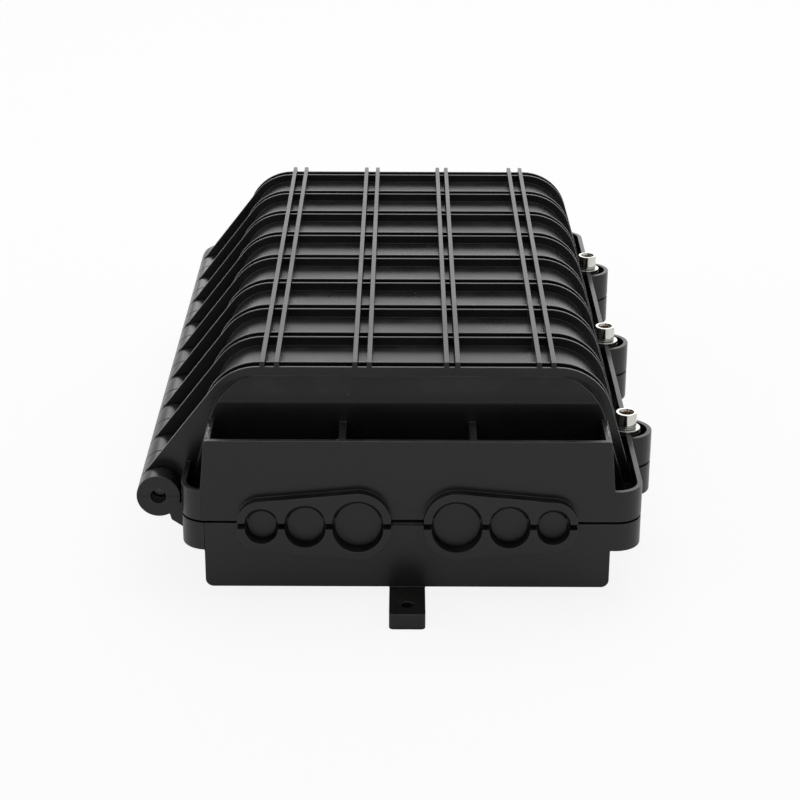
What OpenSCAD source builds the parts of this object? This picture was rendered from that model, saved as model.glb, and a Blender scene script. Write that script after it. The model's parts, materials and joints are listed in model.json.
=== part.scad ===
// Horizontal fibre splice closure: a ribbed clamshell with a full-length hinge on
// one side, three clamp bolts on the other and six plugged half-round cable ports
// in each end. The origin is on the ground, midway between the two lug holes.

/* [Shell] */
// Length of the shell between its two end faces
shell_len = 374; // [350:1:400]
// Width of the tub over its side walls
tub_w = 182.6; // [176:0.2:196]
// Depth of the tub, from the parting plane to its underside
tub_depth = 32.3; // [30:0.1:42]
// Wall of both shells
wall = 3; // [2.4:0.1:3.4]
// Outer radius of the tub's long bottom edges
tub_edge_r = 3.6; // [3.5:0.1:8]
// Gap between the two flanges
part_gap = 1; // [0.8:0.1:1.4]

/* [Flanges] */
// Reach of the flange past the tub wall on the hinge side
hinge_flange = 10.7; // [10.3:0.1:13]
// Reach of the flange past the tub wall on the bolt side
bolt_flange = 14.4; // [14:0.1:18]
// Radius of the flange corners
corner_r = 12; // [8:0.5:16]
// Height of the cover's rim above the parting plane
rim_h = 15.3; // [14:0.1:17]
// Depth of the base's rim below the parting plane
flange_h = 14; // [14:0.1:17]
// Wall of both rims
rim_t = 2.4; // [2:0.1:2.8]
// Thickness of the flange plate inside each rim
flange_t = 4; // [3:0.1:4.6]

/* [Dome] */
// Height of the dome's skin above the parting plane
dome_h = 57.8; // [54:0.1:70]
// Radius of the dome's long shoulders
dome_r = 21.8; // [14:0.1:24]
// Lean of the dome's sides from upright, in degrees
dome_lean = 16.5; // [12:0.5:18]
// Reach of the dome's foot past the tub wall, at the top of the rim
dome_foot = 5.2; // [3:0.1:5.6]
// Length of the sloped band at each end of the dome's top
shoulder_len = 7; // [4:0.5:9]
// Height of that sloped band
shoulder_h = 7.5; // [6:0.5:12]
// Radius where the sloped band turns down into the end wall
shoulder_r = 8; // [4:0.5:12]

/* [Ribs] */
// Number of rib pairs across the dome
rib_pairs = 9; // [5:2:11]
// Spacing of the two ribs in a pair
rib_gap = 6.2; // [5:0.1:8]
// Thickness of a rib across the dome, and of a hinge fin
rib_t = 1.5; // [1.2:0.1:2]
// Height of the ribs across the dome
rib_h = 4.2; // [3.5:0.1:5.5]
// Thickness of a rib along the dome
long_rib_t = 2.2; // [1.6:0.1:3]
// Height of the ribs along the dome above those across it
long_rib_rise = 2.5; // [1:0.1:4]
// Distance of the two inner pairs of long ribs from the middle
long_rib_mid = 20.7; // [14:0.1:30]
// Distance of the two outer pairs inside the shoulders' centres
long_rib_inset = 5.1; // [3.5:0.1:10]
// Spacing of the two long ribs in a pair
long_rib_gap = 6.5; // [4:0.1:8]
// Spacing in the one narrow pair, on the bolt side of the middle
narrow_rib_gap = 5; // [4:0.1:8]

/* [Ends] */
// Depth of each port block, from the end face to the dome's end wall
end_depth = 25; // [24:0.5:32]
// Height of the end plate above the parting plane
plate_h = 39.6; // [36:0.1:44]
// Wall of the end plate and of its two return walls
plate_t = 2.7; // [2.2:0.1:3.2]
// Reach of the end plate's sides past the tub wall, at the top of the rim
plate_foot = 1.3; // [0.5:0.1:2.5]
// Draw-in of each side of the end plate up to its top edge
plate_taper = 2.5; // [1:0.1:4]
// Distance of each gusset from the middle
gusset_x = 29.2; // [20:0.1:40]
// Thickness of a gusset
gusset_t = 3; // [2:0.1:4]
// Drop of a gusset's edge below the edge of the wall it stiffens
gusset_drop = 1.2; // [0.6:0.1:3]

/* [Ports] */
// Bore of the large port next to the middle
large_port_d = 22.7; // [20:0.1:24]
// Bore of the medium port
medium_port_d = 18.2; // [16:0.1:19]
// Bore of the small outer port
small_port_d = 14.7; // [12:0.1:15]
// Space between the edges of the two large ports
port_mid = 21.5; // [20:0.1:24]
// Space between the edges of neighbouring ports
port_web = 3.1; // [2.8:0.1:3.6]
// Gap between the two halves of each port
port_gap = 2.6; // [2:0.1:3]
// Width of the collar around the ports
collar_w = 3.55; // [2.5:0.05:4]
// Height of the collar in front of the end face
collar_out = 4.5; // [2:0.1:6]
// Clearance between a plug and its port
plug_clear = 0.3; // [0.2:0.05:0.5]
// Depth of a plug's face behind the face of the collar
plug_recess = 5.2; // [4.6:0.1:7]

/* [Hinge] */
// Radius of the hinge barrel
barrel_r = 10; // [9:0.1:11]
// Running gap between the barrel and the flange
barrel_gap = 1.8; // [1.6:0.1:3]
// Height of the hinge axis above the parting plane
hinge_up = 2.6; // [2.2:0.1:4.5]
// Distance of each end of the barrel from the shell's end face
barrel_end = 21; // [19:0.5:22.5]
// Bore of the knuckles
knuckle_bore = 7; // [6.8:0.1:8]
// Clearance between the pin and the knuckles, on radius
pin_clear = 0.2; // [0.15:0.05:0.3]
// Depth of each end of the pin inside the barrel
pin_recess = 8; // [3:0.5:9]
// Gap between neighbouring knuckles
knuckle_gap = 0.6; // [0.4:0.1:1]

/* [Clamp bolts] */
// Spacing of the three clamp bolts
bolt_pitch = 115.5; // [100:0.5:130]
// Distance of the bolt line inside the flange's outer face
bolt_inset = 1.7; // [1.5:0.1:2.2]
// Nominal thread diameter of a bolt
bolt_d = 6; // [6:0.1:6.2]
// Length of a bolt under its head
bolt_len = 30; // [29:0.5:34]
// Diameter of a bolt's head
bolt_head_d = 10; // [9.4:0.1:11]
// Height of a bolt's head
bolt_head_h = 6; // [5:0.1:7]
// Width across the flats of the hexagon socket
socket_af = 5; // [4:0.1:6]
// Diameter of the plain washer
washer_d = 13.6; // [12:0.1:14]
// Thickness of the plain washer
washer_t = 1.6; // [1.2:0.1:2]
// Diameter of the spring washer
spring_d = 11.4; // [10.6:0.1:12]
// Thickness of the spring washer
spring_t = 1.6; // [1.2:0.1:2]
// Width across the flats of a nut
nut_af = 10; // [9.6:0.1:10]
// Thickness of a nut
nut_t = 5; // [4:0.1:5.4]
// Outer radius of the swell in the rim around a bolt
boss_r = 12.3; // [11.5:0.1:13.5]
// Radius of the post that a bolt clamps
post_r = 7; // [6.8:0.1:7.4]

/* [Seal] */
// Distance of the seal's centre line outside the tub wall
seal_out = 4.1; // [4:0.1:4.6]
// Width of the groove that the seal lies in
groove_w = 4.4; // [4.2:0.1:4.8]
// Depth of the groove
groove_d = 4.5; // [4:0.1:5]
// Width of the seal
seal_w = 3.8; // [3.4:0.1:4]
// Height of the seal
seal_h = 2.6; // [2:0.1:3]
// Width of the cover's tongue over the seal
tongue_w = 2.2; // [1.6:0.1:2.8]
// Clearance between the tongue and the seal
tongue_clear = 0.3; // [0.3:0.05:0.5]

/* [Lugs and feet] */
// Height of the lugs and of the ribs under the tub
foot_h = 7.5; // [6:0.1:10]
// Width of a lug
lug_w = 16.2; // [14:0.1:22]
// Reach of a lug past the end face
lug_out = 26.4; // [20:0.1:34]
// Diameter of the hole in a lug
lug_hole_d = 5.5; // [4:0.1:7]
// Distance of that hole from the tip of the lug
lug_hole_in = 9.4; // [7:0.1:10]

/* [Splice trays] */
// Number of splice trays
tray_count = 4; // [4:1:4]
// Length of a tray
tray_len = 232; // [210:1:240]
// Width of a tray
tray_w = 122; // [110:1:136]
// Height of a tray
tray_h = 9.5; // [8:0.5:11]
// Wall and floor of a tray
tray_wall = 1.6; // [1.2:0.1:2]
// Spacing of the trays in the stack
tray_pitch = 11.4; // [11.2:0.1:12]
// Distance of each tray stud from the middle
stud_y = 74; // [66:1:80]
// Diameter of a tray stud
stud_d = 5; // [4:0.1:5]
// Radius of the fibre spools
spool_r = 26; // [22:0.5:30]
// Number of splices that one holder takes
splice_slots = 12; // [6:1:12]
// Height of the lowest tray above the tub's floor
tray_lift = 15; // [14:0.5:16]

/* [Hidden] */
$fn = 96;

plastic = [0.06, 0.06, 0.065];
rubber = [0.03, 0.03, 0.03];
steel = [0.72, 0.72, 0.7];
tray_tone = [0.85, 0.86, 0.84];

far = 600;
eps = 0.05;

// Heights over the ground
split_z = tub_depth + foot_h;
half_gap = part_gap / 2;

// Plan, measured from the shell's middle
end_y = shell_len / 2;
hinge_edge = -(tub_w / 2 + hinge_flange);
bolt_edge = tub_w / 2 + bolt_flange;
tub_in = tub_w / 2 - wall;
dome_end = end_y - end_depth;
room_end = dome_end - wall;

// Dome section: centres of the long shoulders
dome_cz = dome_h - dome_r;
function lean_x(r, z) = r * cos(dome_lean) + (dome_cz + r * sin(dome_lean) - z) * tan(dome_lean);
dome_cx = tub_w / 2 + dome_foot - lean_x(dome_r, rim_h);
shoulder_angle = atan(shoulder_len / shoulder_h);

// Ribs
rib_span = 2 * (dome_end - shoulder_len) - rib_gap - rib_t;
rib_pitch = rib_span / (rib_pairs - 1);
function pair_y(k) = -rib_span / 2 + k * rib_pitch;
function fin_y(k) = pair_y(k) - rib_gap / 2 - rib_t / 2;

// Ports, from the middle outwards
port_r = [large_port_d / 2, medium_port_d / 2, small_port_d / 2];
port_x = [
    port_mid / 2 + port_r[0],
    port_mid / 2 + 2 * port_r[0] + port_web + port_r[1],
    port_mid / 2 + 2 * port_r[0] + 2 * port_web + 2 * port_r[1] + port_r[2]
];
port_up = port_gap / 2;
port_zone = port_x[2] + port_r[2] + collar_w;
chamber_in = port_mid / 2 - collar_w / 2;
chamber_out = port_x[2] + port_r[2] + collar_w / 2;
chamber_h = port_up + port_r[0];
pocket_z = chamber_h + wall;
chamber_web_y = (dome_end + end_y) / 2;

// Hinge
hinge_x = hinge_edge - barrel_gap - barrel_r;
barrel_y = end_y - barrel_end;
pin_r = knuckle_bore / 2 - pin_clear;
arm_top = hinge_up + barrel_r - eps;
arm_t = 6;

// Clamp bolts, heights from the parting plane
bolt_x = bolt_edge - bolt_inset;
bolt_y = [-bolt_pitch, 0, bolt_pitch];
post_drop = 0.5;
post_top = rim_h - post_drop;
head_z = post_top + washer_t + spring_t;
washer_clear = 0.6;
nut_roof = 6.5;
boss_depth = flange_h + 1;
thread_root = bolt_d * 0.4;
cover_hole_r = bolt_d / 2 + 0.3;
base_hole_r = bolt_d / 2 + 0.6;
nut_clear = 0.15;
function hex_r(af) = af / 2 / cos(30);
nut_post_r = hex_r(nut_af) + 2;

// Seal
seal_x = tub_w / 2 + seal_out;
seal_end = 4.6;
seal_y = end_y - seal_end;
seal_turn_r = 6;
groove_wall = 1.8;
groove_bottom = half_gap + groove_d;
leg_end = port_zone + 0.9;
end_play = 0.3;

// Inside of the tub, heights from the parting plane
floor_z = wall - tub_depth;
boss_h = 5;
bracket_t = 2;
bracket_z = floor_z + boss_h;
tray_z0 = floor_z + tray_lift;
stack_top = tray_z0 + tray_count * tray_pitch;
lid_t = 1.6;
stud_top = stack_top + lid_t + 9;
anchor_y = (room_end + tray_len / 2) / 2 + 1;
screw_r = 1.9;
screw_hole_r = 1.7;
bracket_hole_x = 44;
bracket_hole_y = 96;
anchor_hole_x = 76;
bar_w = 16;

// Helpers

module slab(z0, z1) translate([0, 0, z0]) linear_extrude(z1 - z0) children();

// A section drawn in X and Z, drawn out along Y
module along_y(y0, y1) translate([0, y1, 0]) rotate([90, 0, 0]) linear_extrude(y1 - y0) children();

// A section drawn in Y and Z, drawn out along X
module along_x(x0, x1) translate([x0, 0, 0]) rotate([90, 0, 90]) linear_extrude(x1 - x0) children();

module both_ends() {
    children();
    mirror([0, 1, 0]) children();
}

module both_sides() {
    children();
    mirror([1, 0, 0]) children();
}

module at_parting() translate([0, 0, split_z]) children();

// Rectangle with round corners, centred in Y
module round_rect(x0, x1, y, r) {
    translate([x0 + r, -y]) square([x1 - x0 - 2 * r, 2 * y]);
    translate([x0, -y + r]) square([x1 - x0, 2 * (y - r)]);
    for (x = [x0 + r, x1 - r], s = [-1, 1]) translate([x, s * (y - r)]) circle(r);
}

module flange_2d(inset = 0) {
    round_rect(hinge_edge + inset, bolt_edge - inset, end_y - inset, corner_r - inset);
}

// Swells of the rim around the bolts, only outside the straight rim
module boss_2d(r) {
    intersection() {
        for (y = bolt_y) translate([bolt_x, y]) circle(r);
        translate([bolt_edge - rim_t, -far / 2]) square([far, far]);
    }
}

// Section of the dome in X and Z, out from its skin by d
module dome_2d(d) {
    r = dome_r + d;
    foot = dome_cx + lean_x(r, 0);
    tx = dome_cx + r * cos(dome_lean);
    tz = dome_cz + r * sin(dome_lean);
    top = dome_cz + r;
    polygon([
        [-foot, 0], [-tx, tz], [-dome_cx, top],
        [dome_cx, top], [tx, tz], [foot, 0]
    ]);
    for (s = [-1, 1]) translate([s * dome_cx, dome_cz]) circle(r);
}

// Side view of the dome in Y and Z, with a sloped band at each end of its top
module dome_side_2d(inset) {
    r = shoulder_r - inset;
    turn_z = dome_h - shoulder_h - inset * tan(shoulder_angle / 2);
    turn_y = dome_end - inset;
    top_y = dome_end - tan(shoulder_angle) * (shoulder_h - inset) - inset / cos(shoulder_angle);
    t = r * tan(shoulder_angle / 2);
    right = [
        [turn_y, 0], [turn_y, turn_z - t],
        [turn_y - t * sin(shoulder_angle), turn_z + t * cos(shoulder_angle)],
        [top_y, dome_h - inset]
    ];
    left = [for (i = [len(right) - 1:-1:0]) [-right[i][0], right[i][1]]];
    polygon(concat(right, left));
    for (s = [-1, 1]) translate([s * (turn_y - r), turn_z - t]) circle(r);
}

// Collar outline around one side's three ports, open at the parting plane
module collar_2d() {
    x1 = port_x[0];
    x2 = port_x[2];
    r1 = port_r[0] + collar_w;
    r2 = port_r[2] + collar_w;
    a = asin((r1 - r2) / (x2 - x1));
    intersection() {
        union() {
            translate([x1, 0]) circle(r1);
            translate([x2, 0]) circle(r2);
            polygon([
                [x1, 0], [x1 + (r1 - eps) * sin(a), (r1 - eps) * cos(a)],
                [x2 + (r2 - eps) * sin(a), (r2 - eps) * cos(a)], [x2, 0]
            ]);
        }
        square([far, far]);
    }
}

module port_holes_2d() {
    for (i = [0:2]) translate([port_x[i], 0]) circle(port_r[i]);
}

// Half of the port block, above the parting plane: what both shells share
module port_collars() {
    both_sides() both_ends()
        along_y(-end_y - collar_out, -end_y + eps) translate([0, port_up]) collar_2d();
}

// Chambers for the sealing tape around each cable, and the ports into them
module port_cuts() {
    both_sides() both_ends() {
        along_y(-end_y - collar_out - 1, -room_end + 1) translate([0, port_up]) port_holes_2d();
        for (y = [[-end_y + plate_t, -chamber_web_y - 1], [-chamber_web_y + 1, -dome_end]])
            along_y(y[0], y[1]) translate([chamber_in, 0]) square([chamber_out - chamber_in, chamber_h]);
    }
    both_ends() translate([-port_zone, -end_y - collar_out - 1, 0])
        cube([2 * port_zone, collar_out + 1 + end_depth + wall + 1, port_up]);
}

// Path of the seal round one long side, in plan
module seal_side_2d(w, leg) {
    r = seal_turn_r;
    translate([seal_x - w / 2, -(seal_y - r)]) square([w, 2 * (seal_y - r)]);
    for (s = [0, 1]) mirror([0, s]) {
        translate([seal_x - r, seal_y - r]) intersection() {
            difference() {
                circle(r + w / 2);
                circle(r - w / 2);
            }
            square([2 * r, 2 * r]);
        }
        translate([leg, seal_y - w / 2]) square([seal_x - r - leg, w]);
    }
}

module seal_mid_2d(w, x) both_ends() translate([-x, seal_y - w / 2]) square([2 * x, w]);

module groove_2d(w, longer) {
    both_sides() seal_side_2d(w, leg_end - longer);
    seal_mid_2d(w, port_mid / 2 - collar_w + longer);
}

module hinge_ring(r, y0, y1) translate([hinge_x, y1, hinge_up]) rotate([90, 0, 0]) cylinder(r = r, h = y1 - y0);

module bolts_at() for (y = bolt_y) translate([bolt_x, y, 0]) children();

// Cover

// Plate from the dome's shoulder down to the barrel, tangent to both
module fin_2d() {
    dx = -dome_cx - hinge_x;
    dz = dome_cz - hinge_up;
    rib_r = dome_r + rib_h;
    a = atan2(dz, dx) + acos((barrel_r - rib_r) / sqrt(dx * dx + dz * dz));
    polygon([
        [hinge_x + barrel_r * cos(a), hinge_up + barrel_r * sin(a)],
        [-dome_cx + rib_r * cos(a), dome_cz + rib_r * sin(a)],
        [-dome_cx, dome_cz], [hinge_edge + rim_t, half_gap + flange_t],
        [hinge_edge + eps, hinge_up - barrel_gap], [hinge_x, hinge_up]
    ]);
}

module cover_ribs() {
    clip_w = bolt_edge - hinge_edge - 2 * eps;
    for (k = [0:rib_pairs - 1]) {
        for (s = [-1, 1])
            along_y(pair_y(k) + s * rib_gap / 2 - rib_t / 2, pair_y(k) + s * rib_gap / 2 + rib_t / 2)
                intersection() {
                    dome_2d(rib_h);
                    translate([hinge_edge + eps, half_gap + eps]) square([clip_w, far]);
                }
        along_y(fin_y(k), fin_y(k) + rib_t) fin_2d();
    }
    pairs = [
        [-dome_cx + long_rib_inset, long_rib_gap], [-long_rib_mid, long_rib_gap],
        [long_rib_mid - (long_rib_gap - narrow_rib_gap) / 2, narrow_rib_gap],
        [dome_cx - long_rib_inset, long_rib_gap]
    ];
    rib_end = rib_span / 2 + rib_gap / 2 + rib_t / 2;
    for (p = pairs, s = [-1, 1])
        along_y(-rib_end, rib_end) intersection() {
            dome_2d(rib_h + long_rib_rise);
            translate([p[0] + s * p[1] / 2 - long_rib_t / 2, dome_h - wall]) square([long_rib_t, far]);
        }
}

module cover_knuckles() {
    for (k = [0:rib_pairs - 1]) {
        y1 = min(fin_y(k) + rib_pitch / 2 - knuckle_gap, barrel_y);
        hinge_ring(barrel_r, fin_y(k), y1);
        along_y(fin_y(k), y1) polygon([
            [hinge_x, arm_top], [hinge_edge + eps, arm_top],
            [hinge_edge + eps, hinge_up - barrel_gap], [hinge_x, hinge_up - barrel_gap]
        ]);
    }
}

// Upstanding plate, return walls and floor in front of the dome
module cover_end() {
    foot = tub_w / 2 + plate_foot;
    top = foot - plate_taper;
    slope = plate_taper / (plate_h - rim_h);
    difference() {
        along_y(-end_y, -dome_end + eps) polygon([
            [-foot, half_gap], [-foot, rim_h], [-top, plate_h],
            [top, plate_h], [foot, rim_h], [foot, half_gap]
        ]);
        along_y(-end_y + plate_t, -dome_end) polygon([
            [-(foot - plate_t), pocket_z],
            [-(top - plate_t - slope), plate_h + 1],
            [top - plate_t - slope, plate_h + 1],
            [foot - plate_t, pocket_z]
        ]);
    }
    for (s = [-1, 1])
        translate([s * gusset_x - gusset_t / 2, -end_y + eps, pocket_z - eps])
            cube([gusset_t, end_depth, plate_h - gusset_drop - pocket_z]);
}

module cover_shell() color(plastic) at_parting() difference() {
    union() {
        slab(half_gap, rim_h) difference() {
            flange_2d();
            flange_2d(rim_t);
        }
        slab(half_gap, rim_h) difference() {
            boss_2d(boss_r);
            boss_2d(boss_r - rim_t);
        }
        slab(half_gap, half_gap + flange_t) {
            flange_2d(eps);
            boss_2d(boss_r - eps);
        }
        bolts_at() slab(half_gap, post_top) circle(post_r);
        slab(-groove_bottom + seal_h + tongue_clear, half_gap + eps)
            both_sides() seal_side_2d(tongue_w, leg_end + 1);
        intersection() {
            along_y(-dome_end, dome_end) dome_2d(0);
            along_x(-far / 2, far / 2) dome_side_2d(0);
            slab(half_gap + eps, far) square(far, center = true);
        }
        cover_ribs();
        cover_knuckles();
        both_ends() cover_end();
        port_collars();
    }
    intersection() {
        along_y(-room_end, room_end) dome_2d(-wall);
        along_x(-far / 2, far / 2) dome_side_2d(wall);
        slab(half_gap + flange_t, far) square(far, center = true);
    }
    slab(-1, half_gap + flange_t + 1) square([2 * tub_in, 2 * room_end], center = true);
    port_cuts();
    bolts_at() {
        slab(-1, rim_h) circle(cover_hole_r);
        slab(post_top, far) circle(washer_d / 2 + washer_clear);
    }
    hinge_ring(knuckle_bore / 2, -barrel_y - 1, barrel_y + 1);
}

// Base

// Section of the tub in X and Z, in from its skin
module tub_2d(inset) {
    w = tub_w / 2 - inset;
    r = tub_edge_r - inset;
    z = -tub_depth + inset;
    translate([-w, z + r]) square([2 * w, tub_depth - inset - r]);
    translate([-w + r, z]) square([2 * (w - r), r + 1]);
    for (s = [-1, 1]) translate([s * (w - r), z + r]) circle(r);
}

module base_arm_2d() polygon([
    [hinge_x, hinge_up], [hinge_x + barrel_r / 2, hinge_up - barrel_r * 0.93],
    [hinge_x + barrel_r / 2 + 0.6, hinge_up - barrel_r - 1.7],
    [hinge_edge - 1, hinge_up - barrel_r - arm_t + 0.7],
    [hinge_edge + eps, hinge_up - barrel_r - arm_t + 0.7],
    [hinge_edge + eps, -half_gap], [hinge_edge - barrel_gap, -half_gap]
]);

module base_knuckles() {
    ends = concat(
        [[-barrel_y, fin_y(0) - knuckle_gap]],
        [for (k = [0:rib_pairs - 2]) [fin_y(k) + rib_pitch / 2, fin_y(k + 1) - knuckle_gap]]
    );
    for (e = ends) {
        hinge_ring(barrel_r, e[0], e[1]);
        along_y(e[0], e[1]) base_arm_2d();
    }
}

// Webs between the tub and the rim, under the flange
module flange_webs() {
    web_t = 2;
    for (k = [0:rib_pairs - 1])
        translate([hinge_edge + eps, pair_y(k) - web_t / 2, -flange_h + 1])
            cube([bolt_edge - hinge_edge - 2 * eps, web_t, flange_h - 2]);
}

// Ribs that the closure stands on
module feet() {
    foot_t = 2.4;
    reach = tub_w / 2 - tub_edge_r - 1;
    depth = foot_h + wall / 2;
    for (k = [0:rib_pairs - 1])
        translate([-reach, pair_y(k) - foot_t / 2, -tub_depth - foot_h]) cube([2 * reach, foot_t, depth]);
    for (x = [-reach, -long_rib_mid - foot_t / 2, long_rib_mid - foot_t / 2, reach - foot_t])
        translate([x, -rib_span / 2, -tub_depth - foot_h]) cube([foot_t, rib_span, depth]);
}

module lug() {
    tip = end_y + lug_out;
    lug_r = 2;
    slab(-tub_depth - foot_h, -tub_depth + eps) {
        translate([-lug_w / 2, -tip + lug_r]) square([lug_w, tip - lug_r - room_end + 10]);
        translate([-lug_w / 2 + lug_r, -tip]) square([lug_w - 2 * lug_r, 2 * lug_r]);
        for (s = [-1, 1]) translate([s * (lug_w / 2 - lug_r), -tip + lug_r]) circle(lug_r);
    }
}

// Hollow behind the end face and under the tape chambers, open downwards
module under_pocket() {
    w = tub_in;
    difference() {
        translate([-w, -end_y + plate_t, -tub_depth - 1]) cube([2 * w, end_depth - plate_t, tub_depth - pocket_z + 1]);
        for (x = [-gusset_x, gusset_x]) translate([x - gusset_t / 2, -end_y, -tub_depth + gusset_drop])
            cube([gusset_t, end_depth, tub_depth]);
        for (x = [-1, 1]) translate([x * (lug_w / 2 - gusset_t / 2) - gusset_t / 2, -end_y, -tub_depth - 1])
            cube([gusset_t, end_depth, tub_depth]);
        translate([-lug_w / 2, -end_y, -tub_depth - 1]) cube([lug_w, end_depth, 1 + eps]);
    }
}

module tub_bosses() {
    for (x = [-1, 1], y = [-1, 1])
        translate([x * bracket_hole_x, y * bracket_hole_y, 0]) slab(floor_z - eps, bracket_z) circle(5);
    for (x = [-1, 1], y = [-1, 1])
        translate([x * anchor_hole_x, y * anchor_y, 0]) slab(floor_z - eps, bracket_z) circle(5);
}

module tub_boss_holes() {
    for (x = [-1, 1], y = [-1, 1]) {
        translate([x * bracket_hole_x, y * bracket_hole_y, 0]) slab(floor_z, bracket_z + 1) circle(screw_hole_r);
        translate([x * anchor_hole_x, y * anchor_y, 0]) slab(floor_z, bracket_z + 1) circle(screw_hole_r);
    }
}

module base_shell() color(plastic) at_parting() difference() {
    union() {
        difference() {
            union() {
                slab(-flange_h, -half_gap) difference() {
                    flange_2d();
                    flange_2d(rim_t);
                }
                slab(-boss_depth, -half_gap) difference() {
                    boss_2d(boss_r);
                    boss_2d(boss_r - rim_t);
                }
                slab(-half_gap - flange_t, -half_gap) {
                    flange_2d(eps);
                    boss_2d(boss_r - eps);
                }
                flange_webs();
                slab(-groove_bottom - groove_wall, -half_gap - eps) groove_2d(groove_w + 2 * groove_wall, groove_wall);
                bolts_at() slab(-boss_depth, -half_gap) circle(nut_post_r);
                along_y(-end_y, end_y) tub_2d(0);
                both_ends() lug();
                feet();
            }
            along_y(-room_end, room_end) tub_2d(wall);
            slab(-half_gap, far) square(far, center = true);
            both_ends() under_pocket();
        }
        mirror([0, 0, 1]) port_collars();
        base_knuckles();
        tub_bosses();
    }
    mirror([0, 0, 1]) port_cuts();
    slab(-groove_bottom, 0) groove_2d(groove_w, 0);
    bolts_at() {
        slab(-far / 2, 0) circle(base_hole_r);
        slab(-far / 2, -nut_roof) circle(hex_r(nut_af + 2 * nut_clear), $fn = 6);
    }
    hinge_ring(knuckle_bore / 2, -barrel_y - 1, barrel_y + 1);
    tub_boss_holes();
    both_ends() translate([0, end_y + lug_out - lug_hole_in, 0])
        slab(-tub_depth - foot_h - 1, -tub_depth + 1) circle(lug_hole_d / 2);
}

// Hinge pin, seal, plugs

module hinge_pin() color(steel) at_parting() hinge_ring(pin_r, -barrel_y + pin_recess, barrel_y - pin_recess);

module seal_side() color(rubber) at_parting() slab(-groove_bottom, -groove_bottom + seal_h)
    seal_side_2d(seal_w, leg_end + end_play);

// Strip between the two collars of one end, with a lip in the parting gap
module seal_end_strip() color(rubber) at_parting() {
    x = port_mid / 2 - collar_w - end_play;
    lip_t = 1;
    translate([-x, -seal_y - seal_w / 2, -groove_bottom]) cube([2 * x, seal_w, groove_bottom - port_up + lip_t]);
    translate([-x, -end_y + 0.4, -port_up]) cube([2 * x, seal_end, lip_t]);
}

// Plug lying in the lower half of its port: body, three sealing ribs and a thin flange at its inner end
module plug(r) {
    body_r = r - plug_clear;
    core_r = body_r - 1;
    face_y = end_y + collar_out - plug_recess;
    len = face_y - room_end;
    ring_w = 3;
    rings = 3;
    rotate([90, 0, 0]) translate([0, 0, room_end]) difference() {
        union() {
            cylinder(r = core_r, h = len);
            translate([0, 0, len - ring_w - 2]) cylinder(r = body_r, h = ring_w + 2 - 0.6);
            translate([0, 0, len - 0.6 - eps]) cylinder(r1 = body_r, r2 = body_r - 0.6, h = 0.6 + eps);
            for (i = [0:rings - 1]) translate([0, 0, i * (len - ring_w) / rings]) cylinder(r = body_r, h = ring_w);
        }
        translate([0, 0, -1]) cylinder(r = core_r - 2.5, h = len - 4);
    }
}

module plug_at(i, side, end) color(rubber)
    at_parting() translate([side * port_x[i], 0, -port_up]) mirror([0, end, 0]) plug(port_r[i]);

// Clamp bolts

module bolt() color(steel) at_parting() {
    plain = head_z - half_gap;
    difference() {
        union() {
            slab(head_z, head_z + bolt_head_h - 0.6) circle(bolt_head_d / 2);
            translate([0, 0, head_z + bolt_head_h - 0.6 - eps])
                cylinder(r1 = bolt_head_d / 2, r2 = bolt_head_d / 2 - 0.6, h = 0.6 + eps);
        }
        slab(head_z + bolt_head_h - 3.4, head_z + bolt_head_h + 1) circle(hex_r(socket_af), $fn = 6);
    }
    slab(head_z - plain, head_z + eps) circle(bolt_d / 2 - 0.05);
    slab(head_z - bolt_len, head_z - plain + eps) circle(thread_root);
}

// Split ring, one turn with a narrow slanted cut
module spring_washer() color(steel) at_parting() difference() {
    slab(post_top + washer_t, head_z) difference() {
        circle(spring_d / 2);
        circle(bolt_d / 2 + 0.1);
    }
    translate([spring_d / 4, 0, post_top + washer_t + spring_t / 2]) rotate([25, 0, 0])
        cube([spring_d / 2 + 1, 0.8, 3 * spring_t], center = true);
}

module washer() color(steel) at_parting() slab(post_top, post_top + washer_t) difference() {
    circle(washer_d / 2);
    circle(bolt_d / 2 + 0.2);
}

module nut() color(steel) at_parting() slab(-nut_roof - nut_t, -nut_roof) difference() {
    circle(hex_r(nut_af), $fn = 6);
    circle(bolt_d / 2 + 0.05);
}

// Trays

module tray_outline_2d(inset) {
    r = 34;
    round_rect(-tray_w / 2 + inset, tray_w / 2 - inset, tray_len / 2 - inset, r - inset);
}

// Shallow dish with two spools, a splice comb, rim tabs and a sleeve on each stud
module splice_tray(n) color(tray_tone) at_parting() {
    z0 = tray_z0 + (n - 1) * tray_pitch;
    comb_len = tray_w - 2 * 24;
    slot = comb_len / (splice_slots * 2 + 1);
    difference() {
        union() {
            slab(z0, z0 + tray_h) difference() {
                tray_outline_2d(0);
                tray_outline_2d(tray_wall);
            }
            slab(z0, z0 + tray_wall) tray_outline_2d(eps);
            for (s = [-1, 1]) translate([0, s * stud_y, 0]) {
                slab(z0, z0 + tray_pitch) circle(stud_d / 2 + 2);
                slab(z0, z0 + tray_h - 2) difference() {
                    circle(spool_r);
                    circle(spool_r - tray_wall);
                }
            }
            for (k = [0:splice_slots]) translate([-comb_len / 2 + 2 * k * slot, -20, z0])
                cube([slot, 40, tray_h - 3]);
            for (a = [-1, 1], b = [-1, 0, 1])
                translate([a * (tray_w / 2 - 5) - 5 + eps * a, b * 44 - 5, z0 + tray_h - 1.2]) cube([10 - 2 * eps, 10, 1.2]);
        }
        for (s = [-1, 1]) translate([0, s * stud_y, 0]) slab(z0 - 1, z0 + tray_pitch + 1) circle(stud_d / 2 + 0.3);
        for (a = [-1, 1], s = [-1, 1])
            translate([a * (tray_w / 2 - 20), s * (tray_len / 2 - 1), z0 + tray_wall])
                cube([10, 6, tray_h * 2], center = true);
    }
}

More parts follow.
